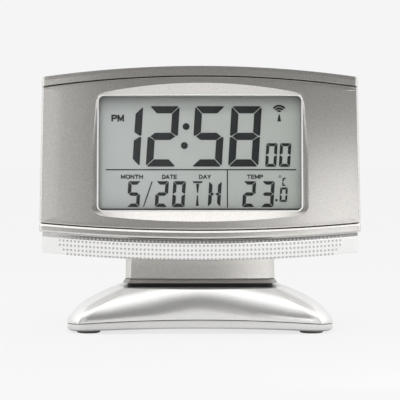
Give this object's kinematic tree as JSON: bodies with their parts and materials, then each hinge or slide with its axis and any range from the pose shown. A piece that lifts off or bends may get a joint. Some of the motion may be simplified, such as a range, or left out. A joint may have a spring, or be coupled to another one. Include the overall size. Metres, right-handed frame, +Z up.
{
  "type": "digital alarm clock",
  "caption": "Silver table alarm clock: bowed, arched head with a recessed LCD window and a long snooze bar, on a short neck and a domed base with rubber feet.",
  "frame": {"origin": "on the table under the middle of the base", "axes": "+X to the viewer's right, +Y away from the viewer who reads the display, +Z up"},
  "size_m": [0.1516, 0.062, 0.1242],
  "materials": {
    "housing_silver": "satin silver paint",
    "bar_silver": "bright satin silver paint",
    "base_silver": "glossy silver paint",
    "collar_grey": "satin grey",
    "back_silver": "fine matt silver paint",
    "key_grey": "matt grey",
    "clear_window": "clear acrylic",
    "lcd_glass": "reflective grey-green display",
    "frame_black": "black moulding",
    "light_plate": "white diffusing acrylic",
    "rubber_grey": "matt rubber",
    "board_green": "solder mask over laminate",
    "resin_black": "black resin",
    "steel": "zinc plated",
    "ferrite_black": "sintered ferrite",
    "copper_wire": "enamelled copper winding",
    "buzzer_brass": "brass disc in a case",
    "cell_jacket": "printed metal jacket",
    "wire_red": "insulated wire",
    "wire_black": "insulated wire",
    "wire_grey": "insulated wire"
  },
  "bodies": {
    "clock": {"front_housing": "housing_silver", "top_trim": "housing_silver", "bottom_trim": "housing_silver", "neck": "housing_silver", "neck_collar": "collar_grey", "base_cover": "base_silver", "base_plate": "base_silver", "rear_housing": "back_silver", "window_lens": "clear_window", "lcd_cell": "lcd_glass", "lcd_holder": "frame_black", "backlight_panel": "light_plate", "zebra_strip": "rubber_grey", "keypad_mat": "rubber_grey", "foot_front_left": "rubber_grey", "foot_front_right": "rubber_grey", "foot_rear_left": "rubber_grey", "foot_rear_right": "rubber_grey", "main_board": "board_green", "snooze_board": "board_green", "clock_chip": "resin_black", "slide_switch": "resin_black", "snooze_switch": "resin_black", "temperature_sensor": "resin_black", "quartz_crystal": "steel", "ferrite_rod": "ferrite_black", "antenna_coil": "copper_wire", "buzzer": "buzzer_brass", "battery_upper": "cell_jacket", "battery_lower": "cell_jacket", "contact_bridge": "steel", "contact_positive": "steel", "contact_negative": "steel", "battery_lead_positive": "wire_red", "battery_lead_negative": "wire_black", "snooze_lead": "wire_grey", "housing_screw_1": "steel", "housing_screw_2": "steel", "housing_screw_3": "steel", "housing_screw_4": "steel", "board_screw_1": "steel", "board_screw_2": "steel", "head_screw_1": "steel", "head_screw_2": "steel", "neck_screw_1": "steel", "neck_screw_2": "steel", "base_screw_1": "steel", "base_screw_2": "steel", "base_screw_3": "steel", "base_screw_4": "steel"},
    "snooze_bar": {"snooze_bar": "bar_silver"},
    "set_key": {"set_key": "key_grey"},
    "alarm_key": {"alarm_key": "key_grey"},
    "plus_key": {"plus_key": "key_grey"},
    "minus_key": {"minus_key": "key_grey"},
    "wave_key": {"wave_key": "key_grey"},
    "alarm_slider": {"alarm_slider": "key_grey"},
    "battery_door": {"battery_door": "back_silver"}
  },
  "joints": [
    {"name": "snooze_press", "type": "slide", "parent": "clock", "child": "snooze_bar", "axis": [0, 0.9962, -0.0872], "range_m": [0, 0.0012], "stiffness_N_per_m": 400, "springref_m": -0.0006},
    {"name": "set_press", "type": "slide", "parent": "clock", "child": "set_key", "axis": [0, -0.9962, 0.0872], "range_m": [0, 0.0008], "stiffness_N_per_m": 300},
    {"name": "alarm_press", "type": "slide", "parent": "clock", "child": "alarm_key", "axis": [0, -0.9962, 0.0872], "range_m": [0, 0.0008], "stiffness_N_per_m": 300},
    {"name": "plus_press", "type": "slide", "parent": "clock", "child": "plus_key", "axis": [0, -0.9962, 0.0872], "range_m": [0, 0.0008], "stiffness_N_per_m": 300},
    {"name": "minus_press", "type": "slide", "parent": "clock", "child": "minus_key", "axis": [0, -0.9962, 0.0872], "range_m": [0, 0.0008], "stiffness_N_per_m": 300},
    {"name": "wave_press", "type": "slide", "parent": "clock", "child": "wave_key", "axis": [0, -0.9962, 0.0872], "range_m": [0, 0.0008], "stiffness_N_per_m": 300},
    {"name": "alarm_slide", "type": "slide", "parent": "clock", "child": "alarm_slider", "axis": [1, 0, 0], "range_m": [0, 0.004]},
    {"name": "door_lift", "type": "slide", "parent": "clock", "child": "battery_door", "axis": [0, 0.9962, -0.0872], "range_m": [0, 0.03]}
  ]
}
